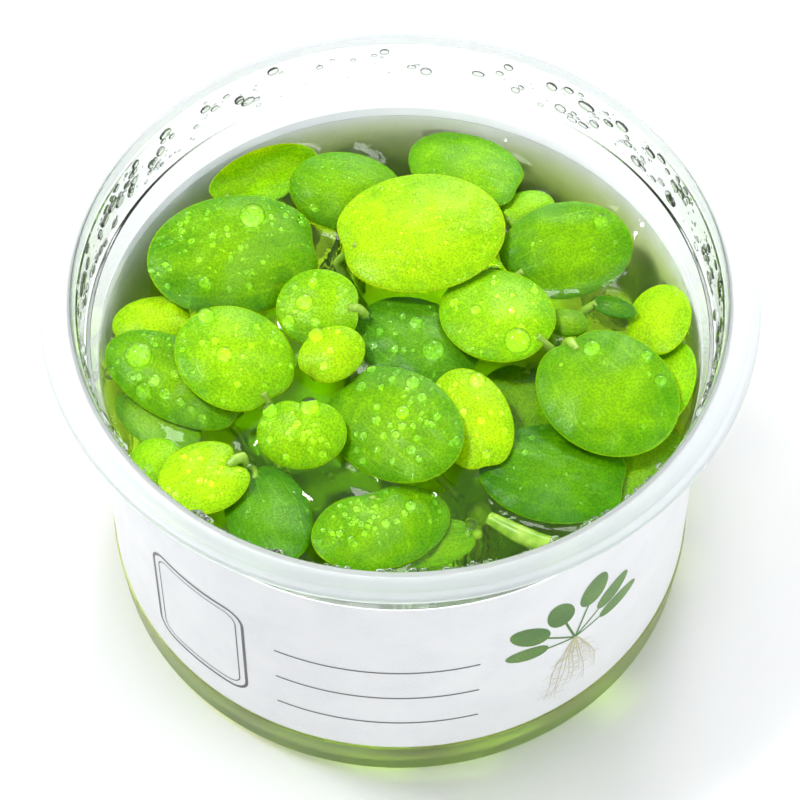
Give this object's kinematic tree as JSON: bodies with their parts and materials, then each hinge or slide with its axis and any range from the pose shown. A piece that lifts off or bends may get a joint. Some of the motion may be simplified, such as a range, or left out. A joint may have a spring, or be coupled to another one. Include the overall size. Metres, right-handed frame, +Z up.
{
  "type": "floating frogbit plants in a culture cup",
  "caption": "Clear round culture cup with a flat rim and a plain white wrap, filled with water and crowded with floating round-leaved plants that trail fine roots.",
  "frame": {"origin": "on the floor under the middle of the cup", "axes": "+Z up along the cup's axis, -Y towards the front of the label, +X to the viewer's right"},
  "size_m": [0.11, 0.11, 0.0675],
  "materials": {
    "clear_plastic": "gloss",
    "white_label": "satin",
    "water": "gloss",
    "leaf_bright": "satin",
    "leaf_mid": "satin",
    "leaf_dark": "satin",
    "stalk": "satin",
    "root": "matte"
  },
  "bodies": {
    "root": {"cup": "clear_plastic", "label_band": "white_label", "water": "water", "leaf_arched_back": "leaf_bright", "leaf_big_back": "leaf_bright", "leaf_big_left": "leaf_mid", "leaf_big_middle": "leaf_mid", "leaf_big_right": "leaf_mid", "leaf_blue_middle": "leaf_dark", "leaf_bright_left": "leaf_bright", "leaf_bright_right": "leaf_bright", "leaf_dark_back": "leaf_mid", "leaf_dark_front": "leaf_dark", "leaf_dark_right": "leaf_dark", "leaf_edge_left": "leaf_bright", "leaf_kidney_front": "leaf_mid", "leaf_long_left": "leaf_mid", "leaf_notched_left": "leaf_bright", "leaf_olive_right": "leaf_dark", "leaf_pale_left": "leaf_bright", "leaf_pale_middle": "leaf_bright", "leaf_rolled": "leaf_bright", "leaf_round_back": "leaf_mid", "leaf_round_middle": "leaf_bright", "leaf_round_right": "leaf_mid", "leaf_small_back": "leaf_bright", "leaf_small_middle": "leaf_bright", "leaf_sunk_front": "leaf_dark", "leaf_sunk_left": "leaf_dark", "leaf_sunk_middle": "leaf_dark", "leaf_sunk_right": "leaf_dark", "leaf_tiny_front": "leaf_bright", "leaf_upright_right": "leaf_bright", "leaf_wall_right": "leaf_bright", "leaf_young_right": "leaf_dark", "roots_back": "root", "roots_centre": "root", "roots_front_left": "root", "roots_front_right": "root", "roots_left": "root", "roots_right": "root", "runner_back": "stalk", "runner_front": "stalk", "runner_left": "stalk"}
  },
  "joints": []
}
